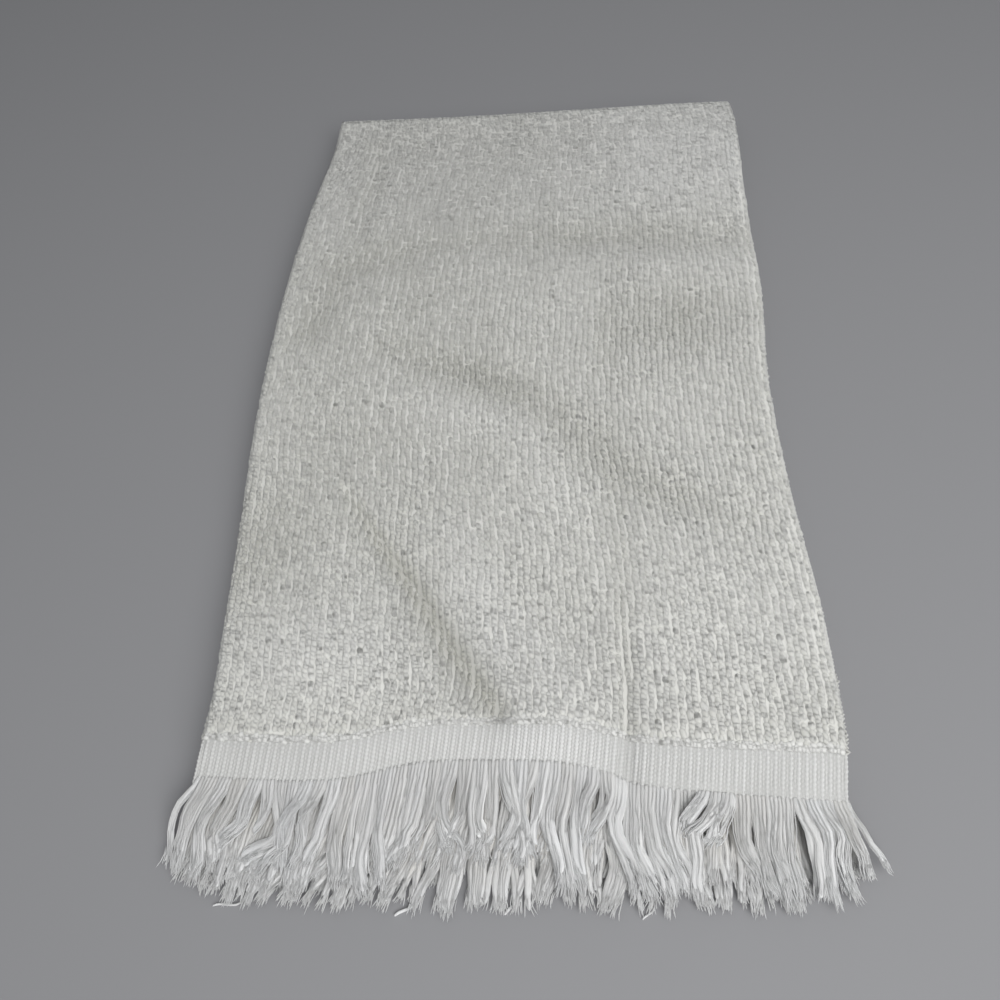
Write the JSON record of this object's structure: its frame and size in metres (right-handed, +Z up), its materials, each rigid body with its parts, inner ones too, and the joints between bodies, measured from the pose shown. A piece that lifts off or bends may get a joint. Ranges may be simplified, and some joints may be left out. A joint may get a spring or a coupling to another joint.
{
  "type": "hand towel",
  "caption": "Cream terry hand towel with plain hem bands and fringed ends, folded in half lengthwise and then across into a flat packet.",
  "frame": {"origin": "middle of the packet's flat underside, halfway between its near hem and its far fold", "axes": "+X across the packet towards its open side with the selvedges, +Y along it from the fringed ends to the plain far fold, +Z up through the layers"},
  "size_m": [0.206, 0.3575, 0.0164],
  "materials": {
    "terry": "cream cotton terry, looped pile in lengthwise rows, with a flat woven band at each hem",
    "fringe": "off-white cotton yarn, soft and slightly silky, frayed at the tips"
  },
  "bodies": {
    "root": {"towel_cloth": "terry", "fringe_upper_end": "fringe", "fringe_lower_end": "fringe"}
  },
  "joints": []
}
